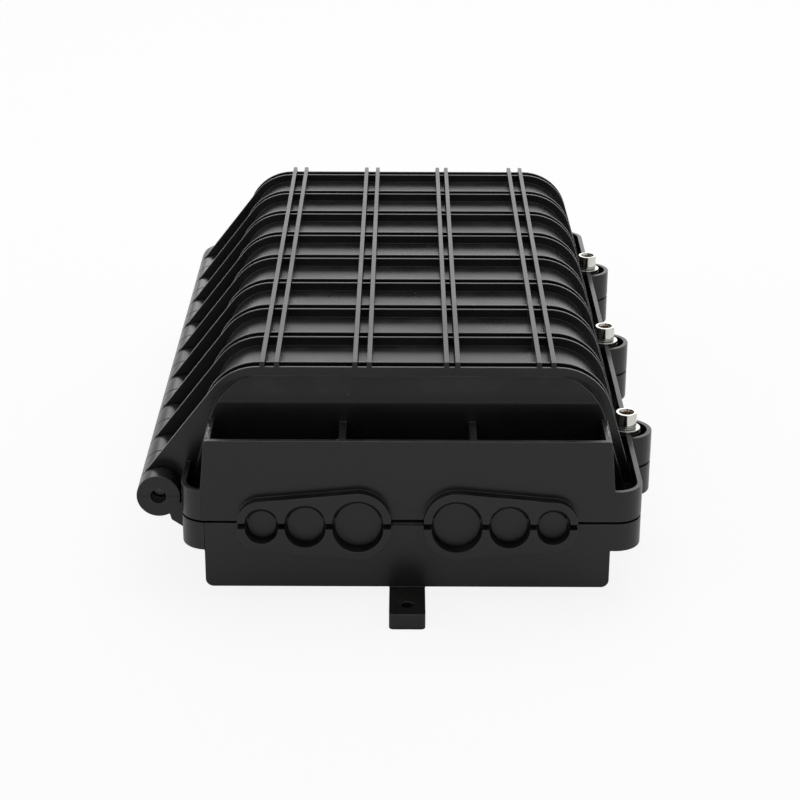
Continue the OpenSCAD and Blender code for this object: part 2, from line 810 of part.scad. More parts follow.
module tray_lid() color([0.8, 0.84, 0.86]) at_parting() slab(stack_top, stack_top + lid_t) difference() {
    tray_outline_2d(0);
    for (s = [-1, 1]) translate([0, s * stud_y]) circle(stud_d / 2 + 0.3);
    for (a = [-1, 1]) translate([a * tray_w / 2, 0]) circle(9);
}

module tray_stud(s) color(steel) at_parting() translate([0, s * stud_y, 0]) {
    slab(bracket_z + bracket_t, stud_top) circle(stud_d / 2);
    slab(bracket_z + bracket_t, tray_z0) circle(hex_r(8), $fn = 6);
}

module tray_nut(s) color([0.1, 0.1, 0.1]) at_parting() translate([0, s * stud_y, 0]) difference() {
    union() {
        slab(stack_top + lid_t, stack_top + lid_t + 5) circle(8);
        for (a = [0:30:330]) rotate(a) translate([8, 0]) slab(stack_top + lid_t, stack_top + lid_t + 5) circle(1);
        slab(stack_top + lid_t + 5 - eps, stack_top + lid_t + 8) circle(4.5);
    }
    slab(stack_top, stud_top + 5) circle(stud_d / 2 + 0.1);
}

// Folded carrier plate with a window and a stiffening flange along each side
module tray_bracket() color([0.62, 0.63, 0.64]) at_parting() {
    x = bracket_hole_x + 8;
    y = bracket_hole_y + 10;
    difference() {
        union() {
            slab(bracket_z, bracket_z + bracket_t) round_rect(-x, x, y, 6);
            for (s = [-1, 1]) translate([s * (x - 1) - 1, -y + 14, bracket_z + eps]) cube([2, 2 * y - 28, 8]);
        }
        for (a = [-1, 1], b = [-1, 1])
            translate([a * bracket_hole_x, b * bracket_hole_y, 0]) slab(bracket_z - 1, bracket_z + 3) circle(screw_r + 0.3);
        slab(bracket_z - 1, bracket_z + 3) round_rect(-26, 26, stud_y - 16, 8);
    }
}

// Pan-head screw with its head resting at height z
module pan_screw(z, l) {
    difference() {
        slab(z, z + 2.4) circle(3.6);
        translate([-2.4, -0.4, z + 1.4]) cube([4.8, 0.8, 2]);
        translate([-0.4, -2.4, z + 1.4]) cube([0.8, 4.8, 2]);
    }
    slab(z - l, z + eps) circle(screw_hole_r - 0.1);
}

module bracket_screws() color(steel) at_parting() for (a = [-1, 1], b = [-1, 1])
    translate([a * bracket_hole_x, b * bracket_hole_y, 0]) pan_screw(bracket_z + bracket_t, 6);

// Steel bar across one end of the tub, with a hole for each strength clamp
module anchor_bar() color(steel) at_parting() translate([0, -anchor_y, 0]) difference() {
    slab(bracket_z, bracket_z + bracket_t) round_rect(-anchor_hole_x - 8, anchor_hole_x + 8, bar_w / 2, 3);
    for (s = [-1, 1]) {
        translate([s * anchor_hole_x, 0]) slab(bracket_z - 1, bracket_z + 3) circle(screw_r + 0.3);
        for (x = port_x) translate([s * x, 0]) slab(bracket_z - 1, bracket_z + 3) circle(2.3);
    }
}

module anchor_screws() color(steel) at_parting() for (s = [-1, 1])
    translate([s * anchor_hole_x, -anchor_y, 0]) pan_screw(bracket_z + bracket_t, 6);

// Six clamps for the cables' strength members: a post with a cross hole, a square plate and a screw head
module strength_clamps() color([0.78, 0.66, 0.34]) at_parting() for (s = [-1, 1], x = port_x)
    translate([s * x, -anchor_y, 0]) difference() {
        union() {
            slab(bracket_z + bracket_t, bracket_z + bracket_t + 13) circle(4);
            slab(bracket_z - 2.4, bracket_z) circle(hex_r(7), $fn = 6);
            slab(bracket_z - 1, bracket_z + bracket_t + eps) circle(2);
            slab(bracket_z + bracket_t + 13 - eps, bracket_z + bracket_t + 16) circle(2.6);
        }
        translate([0, 0, bracket_z + bracket_t + 8]) rotate([90, 0, 0]) cylinder(r = 1.6, h = 20, center = true);
        slab(bracket_z + bracket_t + 14.2, bracket_z + bracket_t + 17) square([4, 0.8], center = true);
    }

// Nodes

base_shell();
cover_shell();
hinge_pin();
mirror([1, 0, 0]) seal_side();  // seal_hinge_side
seal_side();  // seal_bolt_side
seal_end_strip();  // seal_front
mirror([0, 1, 0]) seal_end_strip();  // seal_rear
plug_at(0, -1, 0);  // plug_front_large_left
plug_at(1, -1, 0);  // plug_front_medium_left
plug_at(2, -1, 0);  // plug_front_small_left
plug_at(0, 1, 0);  // plug_front_large_right
plug_at(1, 1, 0);  // plug_front_medium_right
plug_at(2, 1, 0);  // plug_front_small_right
plug_at(0, -1, 1);  // plug_rear_large_left
plug_at(1, -1, 1);  // plug_rear_medium_left
plug_at(2, -1, 1);  // plug_rear_small_left
plug_at(0, 1, 1);  // plug_rear_large_right
plug_at(1, 1, 1);  // plug_rear_medium_right
plug_at(2, 1, 1);  // plug_rear_small_right
translate([bolt_x, -bolt_pitch, 0]) bolt();  // bolt_front
translate([bolt_x, 0, 0]) bolt();  // bolt_middle
translate([bolt_x, bolt_pitch, 0]) bolt();  // bolt_rear
translate([bolt_x, -bolt_pitch, 0]) spring_washer();  // spring_washer_front
translate([bolt_x, 0, 0]) spring_washer();  // spring_washer_middle
translate([bolt_x, bolt_pitch, 0]) spring_washer();  // spring_washer_rear
translate([bolt_x, -bolt_pitch, 0]) washer();  // washer_front
translate([bolt_x, 0, 0]) washer();  // washer_middle
translate([bolt_x, bolt_pitch, 0]) washer();  // washer_rear
translate([bolt_x, -bolt_pitch, 0]) nut();  // nut_front
translate([bolt_x, 0, 0]) nut();  // nut_middle
translate([bolt_x, bolt_pitch, 0]) nut();  // nut_rear
tray_bracket();
bracket_screws();
tray_stud(-1);  // tray_stud_front
tray_stud(1);  // tray_stud_rear
splice_tray(1);  // splice_tray_1
splice_tray(2);  // splice_tray_2
splice_tray(3);  // splice_tray_3
splice_tray(4);  // splice_tray_4
tray_lid();
tray_nut(-1);  // tray_nut_front
tray_nut(1);  // tray_nut_rear
anchor_bar();  // anchor_bar_front
mirror([0, 1, 0]) anchor_bar();  // anchor_bar_rear
anchor_screws();  // anchor_screws_front
mirror([0, 1, 0]) anchor_screws();  // anchor_screws_rear
strength_clamps();  // strength_clamps_front
mirror([0, 1, 0]) strength_clamps();  // strength_clamps_rear
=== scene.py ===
# Horizontal fibre splice closure: a ribbed black clamshell with plugged cable ports, clamp bolts and splice trays
import json
import math
import random

import bmesh
import bpy
from mathutils import Matrix, Vector
from mathutils.bvhtree import BVHTree


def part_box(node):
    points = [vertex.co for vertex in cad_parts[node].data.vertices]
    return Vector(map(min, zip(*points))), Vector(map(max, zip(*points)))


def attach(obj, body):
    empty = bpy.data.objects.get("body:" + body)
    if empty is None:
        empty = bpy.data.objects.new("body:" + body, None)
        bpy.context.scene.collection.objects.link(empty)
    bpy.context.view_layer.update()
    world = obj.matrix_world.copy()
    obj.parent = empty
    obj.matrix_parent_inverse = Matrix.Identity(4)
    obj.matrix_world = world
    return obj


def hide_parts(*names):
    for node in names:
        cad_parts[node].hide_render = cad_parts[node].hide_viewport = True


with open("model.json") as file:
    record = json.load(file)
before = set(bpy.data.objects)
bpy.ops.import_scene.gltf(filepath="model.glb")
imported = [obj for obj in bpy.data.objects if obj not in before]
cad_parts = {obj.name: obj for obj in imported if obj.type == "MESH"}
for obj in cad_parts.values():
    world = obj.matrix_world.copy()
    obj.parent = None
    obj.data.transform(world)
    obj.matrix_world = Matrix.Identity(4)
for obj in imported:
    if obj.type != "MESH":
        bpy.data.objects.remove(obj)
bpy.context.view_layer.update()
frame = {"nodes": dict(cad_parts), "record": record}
print("frame:", len(frame["nodes"]), "nodes")

slotOf = {s["node"]: s["material_slot"] for s in frame["record"]["subparts"]}
bodyOf = {n: body for body, members in frame["record"]["behaviour"]["bodies"].items() for n in members}


def addNode(tree, kind, inputs=None, **settings):
    made = tree.nodes.new(kind)
    for key, value in settings.items():
        setattr(made, key, value)
    for key, value in (inputs or {}).items():
        made.inputs[key].default_value = value
    return made


def join(tree, source, target):
    tree.links.new(source, target)


def feed(tree, value, socket):
    # value: a node's output, or a number to set
    if isinstance(value, (int, float)):
        socket.default_value = value
    else:
        join(tree, value, socket)


def compute(tree, operation, *values):
    step = addNode(tree, "ShaderNodeMath", operation=operation)
    for value, socket in zip(values, step.inputs):
        feed(tree, value, socket)
    return step.outputs["Value"]


def stretch(tree, value, fromLow, fromHigh, toLow=0.0, toHigh=1.0):
    span = addNode(tree, "ShaderNodeMapRange",
                   {"From Min": fromLow, "From Max": fromHigh, "To Min": toLow, "To Max": toHigh})
    join(tree, value, span.inputs["Value"])
    return span.outputs["Result"]


def objectTexture(tree, kind, inputs, scale=None):
    # a texture on Object coordinates
    place = addNode(tree, "ShaderNodeTexCoord")
    texture = addNode(tree, kind, inputs)
    join(tree, place.outputs["Object"], texture.inputs["Vector"])
    if scale is not None:
        join(tree, scale, texture.inputs["Scale"])
    return texture


def mixColour(tree, mask, first, second):
    # inputs 6 and 7 and output 2 are the colour sockets of a Mix node
    blend = addNode(tree, "ShaderNodeMix", data_type="RGBA")
    join(tree, mask, blend.inputs[0])
    for socket, value in ((blend.inputs[6], first), (blend.inputs[7], second)):
        if isinstance(value, tuple):
            socket.default_value = (*value, 1.0)
        else:
            join(tree, value, socket)
    return blend.outputs[2]


def newGroup(name, inputs, outputs):
    tree = bpy.data.node_groups.new(name, "ShaderNodeTree")
    for socket, start in inputs.items():
        tree.interface.new_socket(socket, in_out="INPUT", socket_type="NodeSocketFloat").default_value = start
    for socket, kind in outputs.items():
        tree.interface.new_socket(socket, in_out="OUTPUT", socket_type=kind)
    return tree, addNode(tree, "NodeGroupInput"), addNode(tree, "NodeGroupOutput")


def makeGrain():
    # fine moulded texture for bumps, and slow cloudiness for colour and gloss
    tree, inside, out = newGroup("mouldGrain", {"Grain Scale": 1800.0, "Cloud Scale": 22.0},
                                 {"Height": "NodeSocketFloat", "Cloud": "NodeSocketFloat"})
    fine = objectTexture(tree, "ShaderNodeTexNoise", {"Detail": 2.0, "Roughness": 0.6},
                         inside.outputs["Grain Scale"])
    slow = objectTexture(tree, "ShaderNodeTexNoise", {"Detail": 4.0, "Roughness": 0.55, "Distortion": 0.4},
                         inside.outputs["Cloud Scale"])
    join(tree, fine.outputs["Fac"], out.inputs["Height"])
    join(tree, stretch(tree, slow.outputs["Fac"], 0.3, 0.7), out.inputs["Cloud"])
    return tree


def makeDust():
    # a thin haze and scattered flecks on what faces up
    tree, inside, out = newGroup("restingDust", {"Haze": 0.3, "Flecks": 0.5, "Fleck Scale": 260.0},
                                 {"Mask": "NodeSocketFloat"})
    place = addNode(tree, "ShaderNodeTexCoord")
    parts = addNode(tree, "ShaderNodeSeparateXYZ")
    join(tree, place.outputs["Normal"], parts.inputs["Vector"])
    facing = stretch(tree, parts.outputs["Z"], 0.35, 0.95)
    drift = objectTexture(tree, "ShaderNodeTexNoise", {"Scale": 60.0, "Detail": 6.0, "Roughness": 0.7})
    haze = compute(tree, "MULTIPLY", stretch(tree, drift.outputs["Fac"], 0.45, 0.75), inside.outputs["Haze"])
    cells = objectTexture(tree, "ShaderNodeTexVoronoi", {}, inside.outputs["Fleck Scale"])
    chance = addNode(tree, "ShaderNodeSeparateColor")
    join(tree, cells.outputs["Color"], chance.inputs["Color"])
    rare = compute(tree, "GREATER_THAN", chance.outputs["Red"], 0.93)
    near = stretch(tree, cells.outputs["Distance"], 0.14, 0.05)
    flecks = compute(tree, "MULTIPLY", compute(tree, "MULTIPLY", near, rare), inside.outputs["Flecks"])
    settled = compute(tree, "MULTIPLY", compute(tree, "MAXIMUM", haze, flecks), facing)
    join(tree, settled, out.inputs["Mask"])
    return tree


def makeRubbed():
    # rounded edges, marked by the "rubbed" attribute, wear unevenly
    tree, inside, out = newGroup("rubbedEdges", {"Amount": 0.5, "Patch Scale": 90.0}, {"Mask": "NodeSocketFloat"})
    edge = addNode(tree, "ShaderNodeAttribute", attribute_name="rubbed")
    patches = objectTexture(tree, "ShaderNodeTexNoise", {"Detail": 5.0, "Roughness": 0.65},
                            inside.outputs["Patch Scale"])
    worn = compute(tree, "MULTIPLY", edge.outputs["Fac"], stretch(tree, patches.outputs["Fac"], 0.35, 0.62))
    join(tree, compute(tree, "MULTIPLY", worn, inside.outputs["Amount"]), out.inputs["Mask"])
    return tree


grainGroup, dustGroup, rubbedGroup = makeGrain(), makeDust(), makeRubbed()

finishes = {
    "closureBlack": {"dark": (0.0050, 0.0052, 0.0050), "light": (0.0080, 0.0083, 0.0076), "gloss": (0.24, 0.33),
                     "ior": 1.45, "grain": 1500.0, "bump": 0.10, "cloud": 16.0, "worn": (0.035, 0.035, 0.033),
                     "wornShare": 0.75, "haze": 0.10, "flecks": 0.9, "dust": (0.16, 0.155, 0.145)},
    # painted highlight: the flash is the shell's black plastic, and its light grey colours stand in for the light
    # its thin ragged edges catch
    "flashBlack": {"dark": (0.07, 0.07, 0.068), "light": (0.34, 0.34, 0.33), "gloss": (0.25, 0.40),
                   "ior": 1.5, "grain": 900.0, "bump": 0.3, "cloud": 260.0, "worn": (0.3, 0.3, 0.29),
                   "wornShare": 0.6, "haze": 0.1, "flecks": 0.3, "dust": (0.25, 0.245, 0.235)},
    "plugBlack": {"dark": (0.0085, 0.0088, 0.0080), "light": (0.012, 0.012, 0.0106), "gloss": (0.34, 0.44),
                  "ior": 1.45, "grain": 1100.0, "bump": 0.16, "cloud": 40.0, "worn": (0.03, 0.03, 0.028),
                  "wornShare": 0.6, "haze": 0.05, "flecks": 0.4, "dust": (0.16, 0.155, 0.145)},
    "sealRubber": {"dark": (0.010, 0.010, 0.011), "light": (0.018, 0.018, 0.019), "gloss": (0.62, 0.75),
                   "ior": 1.45, "grain": 900.0, "bump": 0.25, "cloud": 60.0, "worn": (0.04, 0.04, 0.04),
                   "wornShare": 0.4, "haze": 0.2, "flecks": 0.5, "dust": (0.2, 0.19, 0.18)},
    "thumbBlack": {"dark": (0.012, 0.012, 0.013), "light": (0.02, 0.02, 0.021), "gloss": (0.35, 0.5),
                   "ior": 1.47, "grain": 1200.0, "bump": 0.2, "cloud": 80.0, "worn": (0.06, 0.06, 0.06),
                   "wornShare": 0.6, "haze": 0.1, "flecks": 0.4, "dust": (0.2, 0.19, 0.18)},
    "trayPlastic": {"dark": (0.60, 0.61, 0.58), "light": (0.70, 0.71, 0.68), "gloss": (0.32, 0.42),
                    "ior": 1.5, "grain": 1400.0, "bump": 0.08, "cloud": 20.0, "worn": (0.8, 0.8, 0.78),
                    "wornShare": 0.5, "haze": 0.08, "flecks": 0.3, "dust": (0.4, 0.39, 0.37)},
    "lidClear": {"dark": (0.86, 0.89, 0.90), "light": (0.92, 0.94, 0.95), "gloss": (0.04, 0.10), "clear": 0.92,
                 "ior": 1.49, "grain": 700.0, "bump": 0.02, "cloud": 14.0, "worn": (0.95, 0.95, 0.95),
                 "wornShare": 0.3, "haze": 0.06, "flecks": 0.3, "dust": (0.5, 0.5, 0.48)},
    "boltChrome": {"dark": (0.66, 0.65, 0.61), "light": (0.76, 0.75, 0.71), "gloss": (0.06, 0.13), "metal": 1.0,
                   "ior": 1.5, "grain": 700.0, "bump": 0.03, "cloud": 300.0, "worn": (0.85, 0.84, 0.8),
                   "wornShare": 0.6, "haze": 0.0, "flecks": 0.1, "dust": (0.3, 0.28, 0.25)},
    "socketSoil": {"dark": (0.16, 0.11, 0.06), "light": (0.48, 0.36, 0.24), "gloss": (0.22, 0.40), "metal": 0.85,
                   "ior": 1.5, "grain": 1600.0, "bump": 0.4, "cloud": 700.0, "worn": (0.3, 0.25, 0.2),
                   "wornShare": 0.5, "haze": 0.2, "flecks": 0.2, "dust": (0.2, 0.16, 0.12)},
    "washerSteel": {"dark": (0.55, 0.55, 0.53), "light": (0.70, 0.70, 0.67), "gloss": (0.18, 0.30), "metal": 1.0,
                    "ior": 1.5, "grain": 900.0, "bump": 0.08, "cloud": 350.0, "worn": (0.8, 0.8, 0.78),
                    "wornShare": 0.6, "haze": 0.02, "flecks": 0.2, "dust": (0.3, 0.28, 0.25)},
    # painted shade: the pin's steel is darkened so that its end, sunk in the barrel's bore, reads as a dark hole
    "pinSteel": {"dark": (0.20, 0.195, 0.19), "light": (0.34, 0.335, 0.33), "gloss": (0.32, 0.45), "metal": 1.0,
                 "ior": 1.5, "grain": 800.0, "bump": 0.1, "cloud": 120.0, "worn": (0.7, 0.7, 0.7),
                 "wornShare": 0.6, "haze": 0.02, "flecks": 0.1, "dust": (0.3, 0.28, 0.25)},
    "zincPlate": {"dark": (0.50, 0.51, 0.52), "light": (0.64, 0.64, 0.62), "gloss": (0.25, 0.4), "metal": 1.0,
                  "ior": 1.5, "grain": 600.0, "bump": 0.1, "cloud": 140.0, "worn": (0.8, 0.8, 0.8),
                  "wornShare": 0.6, "haze": 0.04, "flecks": 0.2, "dust": (0.3, 0.28, 0.25)},
    "galvanised": {"dark": (0.40, 0.41, 0.43), "light": (0.58, 0.59, 0.60), "gloss": (0.3, 0.48), "metal": 1.0,
                   "ior": 1.5, "grain": 500.0, "bump": 0.08, "cloud": 110.0, "worn": (0.75, 0.75, 0.75),
                   "wornShare": 0.6, "haze": 0.04, "flecks": 0.2, "dust": (0.3, 0.28, 0.25)},
    "clampBrass": {"dark": (0.56, 0.40, 0.17), "light": (0.72, 0.54, 0.26), "gloss": (0.2, 0.36), "metal": 1.0,
                   "ior": 1.5, "grain": 700.0, "bump": 0.08, "cloud": 220.0, "worn": (0.85, 0.7, 0.4),
                   "wornShare": 0.6, "haze": 0.03, "flecks": 0.2, "dust": (0.3, 0.28, 0.25)},
}


def makeFinish(name, look):
    material = bpy.data.materials.new(name)
    material.use_nodes = True
    tree = material.node_tree
    shader = tree.nodes["Principled BSDF"]
    shader.inputs["IOR"].default_value = look["ior"]
    shader.inputs["Metallic"].default_value = look.get("metal", 0.0)
    shader.inputs["Transmission Weight"].default_value = look.get("clear", 0.0)
    grain = addNode(tree, "ShaderNodeGroup", node_tree=grainGroup,
                    inputs={"Grain Scale": look["grain"], "Cloud Scale": look["cloud"]})
    dust = addNode(tree, "ShaderNodeGroup", node_tree=dustGroup,
                   inputs={"Haze": look["haze"], "Flecks": look["flecks"]})
    rubbed = addNode(tree, "ShaderNodeGroup", node_tree=rubbedGroup, inputs={"Amount": look["wornShare"]})
    colour = mixColour(tree, grain.outputs["Cloud"], look["dark"], look["light"])
    colour = mixColour(tree, rubbed.outputs["Mask"], colour, look["worn"])
    colour = mixColour(tree, dust.outputs["Mask"], colour, look["dust"])
    join(tree, colour, shader.inputs["Base Color"])
    rough = stretch(tree, grain.outputs["Cloud"], 0.0, 1.0, *look["gloss"])
    join(tree, compute(tree, "MULTIPLY_ADD", dust.outputs["Mask"], 0.35, rough), shader.inputs["Roughness"])
    bump = addNode(tree, "ShaderNodeBump", {"Strength": look["bump"], "Distance": 0.0001})
    join(tree, grain.outputs["Height"], bump.inputs["Height"])
    join(tree, bump.outputs["Normal"], shader.inputs["Normal"])
    return material


materials = {name: makeFinish(name, look) for name, look in finishes.items()}
print("finishes:", len(materials))


# angles that part smooth faces from crisp ones, and distances at which points are one
meshWork = {"sharpAngle": math.radians(36), "bevelAngle": math.radians(28), "flatAngle": math.radians(0.6),
            "weld": 2e-6, "fineWeld": 1e-7}


def finishPiece(bm, name, body, finishNames, replaced=()):
    # replaced: the frame's nodes that this piece is shown for
    mesh = bpy.data.meshes.new(name)
    bm.to_mesh(mesh)
    bm.free()
    for finish in finishNames:
        mesh.materials.append(materials[finish])
    mesh.shade_smooth()
    mesh.set_sharp_from_angle(angle=meshWork["sharpAngle"])
    piece = bpy.data.objects.new(name, mesh)
    bpy.context.scene.collection.objects.link(piece)
    even = piece.modifiers.new("evenNormals", "WEIGHTED_NORMAL")
    even.keep_sharp = True
    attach(piece, body)
    if replaced:
        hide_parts(*replaced)
    return piece


def plainName(node):
    first, *rest = node.split("_")
    return first + "".join(word.capitalize() for word in rest)


def roundEdges(bm, width):
    # the new faces carry the "rubbed" attribute that the finishes read
    rubbed = bm.faces.layers.float.new("rubbed")
    crisp = [e for e in bm.edges if e.is_manifold and e.calc_face_angle(0.0) > meshWork["bevelAngle"]]
    made = bmesh.ops.bevel(bm, geom=crisp, offset=width, offset_type="OFFSET", segments=2, profile=0.5,
                           affect="EDGES", material=-1, loop_slide=True, clamp_overlap=False)
    for face in made["faces"]:
        face[rubbed] = 1.0


def pullBack(bm, skin, reach):
    # where many edges meet, a bevel can throw a corner off the surface: it goes back to the nearest point
    for v in bm.verts:
        spot, _, _, away = skin.find_nearest(v.co)
        if away > reach:
            v.co = spot


def dressNode(node, finish, width):
    bm = bmesh.new()
    bm.from_mesh(frame["nodes"][node].data)
    bmesh.ops.remove_doubles(bm, verts=bm.verts, dist=meshWork["weld"])
    bmesh.ops.dissolve_limit(bm, angle_limit=meshWork["flatAngle"], verts=bm.verts, edges=bm.edges)
    skin = BVHTree.FromBMesh(bm)
    roundEdges(bm, width)
    pullBack(bm, skin, width)
    return finishPiece(bm, plainName(node), bodyOf[node], [finish], [node])


# finish and edge rounding for each material slot
edgeWork = {
    "moulded_shell": ("closureBlack", 0.00028),
    "plug": ("plugBlack", 0.00030),
    "seal_rubber": ("sealRubber", 0.00040),
    "pin_steel": ("pinSteel", 0.00045),
    "washer_steel": ("washerSteel", 0.00018),
    "tray_plastic": ("trayPlastic", 0.00022),
    "lid_clear": ("lidClear", 0.00025),
    "thumb_nut": ("thumbBlack", 0.00030),
    "clamp_brass": ("clampBrass", 0.00018),
    "zinc_steel": ("zincPlate", 0.00015),
    "bracket_metal": ("galvanised", 0.00030),
}
madeApart = ("bolt_front", "bolt_middle", "bolt_rear",
             "spring_washer_front", "spring_washer_middle", "spring_washer_rear")
for node in frame["nodes"]:
    if node not in madeApart:
        dressNode(node, *edgeWork[slotOf[node]])
print("rounded:", len(frame["nodes"]) - len(madeApart), "pieces")


# clamp bolts: socket cap screws with a split washer, heights down from the top of the head
boltWork = {"segments": 48, "headHeight": 0.006, "rim": 0.0003, "rimStart": 0.3, "underRim": 0.00025,
            "flats": 0.0057, "mouth": 0.00375, "mouthDrop": 0.0011, "socketDepth": 0.0034,
            "shank": 0.00294, "runOut": 0.0004, "threadRoot": 0.00245, "threadCrest": 0.00292, "pitch": 0.001,
            "threadTurns": 14, "turnSteps": 24, "crestStart": 0.42, "crestEnd": 0.55,
            "coreInset": 0.00005, "tip": 0.0012, "point": 0.0006}
splitWasherWork = {"outer": 0.00505, "inner": 0.00312, "rise": 0.12, "gap": math.radians(7), "steps": 60,
                   "rounding": 0.00018}


def turnProfile(bm, centre, profile, segments):
    # profile: (radius, height) pairs from one end to the other, turned about the upright through centre
    chain = [bm.verts.new(centre + Vector((r, 0.0, z))) for r, z in profile]
    edges = [bm.edges.new(pair) for pair in zip(chain, chain[1:])]
    return bmesh.ops.spin(bm, geom=chain + edges, cent=centre, axis=(0, 0, 1), angle=2 * math.pi,
                          steps=segments, use_merge=True)


def sweepThread(bm, centre, threadTop):
    # one tooth swept down a helix
    work = boltWork
    pitch, root, crest = work["pitch"], work["threadRoot"], work["threadCrest"]
    corners = ((root, 0.0), (crest, pitch * work["crestStart"]), (crest, pitch * work["crestEnd"]), (root, pitch))
    tooth = [bm.verts.new(centre + Vector((r, 0.0, threadTop - drop))) for r, drop in corners]
    edges = [bm.edges.new(pair) for pair in zip(tooth, tooth[1:])]
    turns = work["threadTurns"] - 1
    bmesh.ops.spin(bm, geom=tooth + edges, cent=centre, axis=(0, 0, 1), dvec=(0, 0, -pitch / work["turnSteps"]),
                   angle=2 * math.pi * turns, steps=work["turnSteps"] * turns)


def sinkSocket(bm, centre, hexRadius):
    # countersunk mouth, six walls and a floor, soiled inside
    work = boltWork

    def borderAt(level):
        return [e for e in bm.edges
                if e.is_boundary and all(abs(v.co.z - level) < meshWork["fineWeld"] for v in e.verts)]

    mouthLevel = centre.z - work["mouthDrop"]
    mouth = bmesh.ops.create_circle(bm, segments=6, radius=hexRadius,
                                    matrix=Matrix.Translation(centre - Vector((0, 0, work["mouthDrop"]))))["verts"]
    hexEdges = list({e for v in mouth for e in v.link_edges})
    bmesh.ops.subdivide_edges(bm, edges=hexEdges, cuts=work["segments"] // 6 - 1)
    bmesh.ops.remove_doubles(bm, verts=bm.verts, dist=meshWork["fineWeld"])
    bmesh.ops.bridge_loops(bm, edges=[e for e in bm.edges if e.is_wire] + borderAt(centre.z))
    wall = bmesh.ops.extrude_edge_only(bm, edges=borderAt(mouthLevel))["geom"]
    soiled = [f for f in wall if isinstance(f, bmesh.types.BMFace)]
    bmesh.ops.translate(bm, vec=(0, 0, -work["socketDepth"]),
                        verts=[v for v in wall if isinstance(v, bmesh.types.BMVert)])
    floorEdges = [e for e in wall if isinstance(e, bmesh.types.BMEdge) and e.is_boundary]
    soiled += bmesh.ops.contextual_create(bm, geom=floorEdges)["faces"]
    for face in soiled:
        face.material_index = 1


def makeBolt(node):
    work = boltWork
    low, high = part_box(node)
    centre = Vector(((low.x + high.x) / 2, (low.y + high.y) / 2, high.z))
    head, rim, bearing, end = (high.x - low.x) / 2, work["rim"], -work["headHeight"], low.z - high.z
    threadTop = end + work["tip"] + work["threadTurns"] * work["pitch"]
    core = work["threadRoot"] - work["coreInset"]
    bm = bmesh.new()
    turnProfile(bm, centre, [
        (work["mouth"], 0.0), (head - rim, 0.0), (head - rim * work["rimStart"], -rim * work["rimStart"]),
        (head, -rim), (head, bearing + work["underRim"]), (head - work["underRim"], bearing),
        (work["shank"], bearing), (work["shank"], threadTop + work["runOut"]), (work["threadRoot"], threadTop)],
        work["segments"])
    sweepThread(bm, centre, threadTop)
    turnProfile(bm, centre, [
        (core, threadTop), (core, end + work["point"]), (work["threadRoot"] - work["point"], end), (0.0, end)],
        work["segments"])
    sinkSocket(bm, centre, work["flats"] / 2 / math.cos(math.radians(30)))
    bmesh.ops.recalc_face_normals(bm, faces=bm.faces)
    bm.faces.layers.float.new("rubbed")
    finishPiece(bm, plainName(node), bodyOf[node], ["boltChrome", "socketSoil"], [node])


def makeSplitWasher(node):
    work = splitWasherWork
    low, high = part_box(node)
    centre = Vector(((low.x + high.x) / 2, (low.y + high.y) / 2, low.z))
    thick = high.z - low.z
    rise = work["rise"] * thick
    bm = bmesh.new()
    corners = [bm.verts.new(centre + Vector((r, 0, z))) for r, z in (
        (work["inner"], 0), (work["outer"], 0), (work["outer"], thick - rise), (work["inner"], thick - rise))]
    section = bm.faces.new(corners)
    bmesh.ops.rotate(bm, verts=corners, cent=centre, matrix=Matrix.Rotation(work["gap"] / 2, 3, "Z"))
    bmesh.ops.spin(bm, geom=[section, *section.edges, *corners], cent=centre, axis=(0, 0, 1),
                   dvec=(0, 0, rise / work["steps"]), angle=2 * math.pi - work["gap"], steps=work["steps"])
    bmesh.ops.remove_doubles(bm, verts=bm.verts, dist=meshWork["fineWeld"])
    bmesh.ops.recalc_face_normals(bm, faces=bm.faces)
    roundEdges(bm, work["rounding"])
    finishPiece(bm, plainName(node), bodyOf[node], ["washerSteel"], [node])


for place in ("front", "middle", "rear"):
    makeBolt("bolt_" + place)
    makeSplitWasher("spring_washer_" + place)
print("bolts and split washers made")


# what the mould left: ragged flash on the end plates' corners, and its parting line over the barrel's ends
flashWork = {"steps": 22, "length": 0.019, "width": 0.0022, "rise": 0.0013, "thick": 0.00015, "jitter": 3e-4,
             "inset": 0.0004, "sunk": 0.0001, "crest": 0.5, "lip": 0.4, "taper": 0.5, "seed": 11}
mouldLineWork = {"height": 0.00028, "proud": 0.00012, "inset": 0.0003}
# how far the collars stand in front of the end plates, and the barrel and its bore as the frame has them
mouldPlace = {"collarOut": 0.0045, "barrelRadius": 0.010, "boreRadius": 0.0035, "pinRecess": 0.008, "near": 2e-4}


def makeFlash(name, corner, inward, chance):
    # a crumpled ribbon that runs back along the return wall from one top corner of an end plate
    work = flashWork
    bm = bmesh.new()
    rows = []
    for step in range(work["steps"]):
        share = step / (work["steps"] - 1)
        rise = work["rise"] * chance.uniform(0.1, 1.0) ** 2 * (1 - work["taper"] * share)
        width = work["width"] * chance.uniform(0.2, 1.0) * (1 - work["taper"] * share)
        foot = (corner + Vector((0.0, inward.y * share * work["length"], 0.0))
                + Vector((inward.x * work["inset"], 0.0, -work["sunk"])))
        sideways = chance.uniform(-work["jitter"], work["jitter"])
        rows.append([bm.verts.new(foot),
                     bm.verts.new(foot + Vector((inward.x * width * work["crest"], 0.0, rise))),
                     bm.verts.new(foot + Vector((inward.x * width, sideways, rise * work["lip"])))])
    for near, far in zip(rows, rows[1:]):
        for a, b in ((0, 1), (1, 2)):
            bm.faces.new((near[a], near[b], far[b], far[a]))
    bmesh.ops.recalc_face_normals(bm, faces=bm.faces)
    bmesh.ops.solidify(bm, geom=bm.faces[:], thickness=work["thick"])
    bm.faces.layers.float.new("rubbed")
    # the flash's finish is a painted highlight: light grey where the plastic is black
    finishPiece(bm, name, bodyOf["cover_shell"], ["flashBlack"])


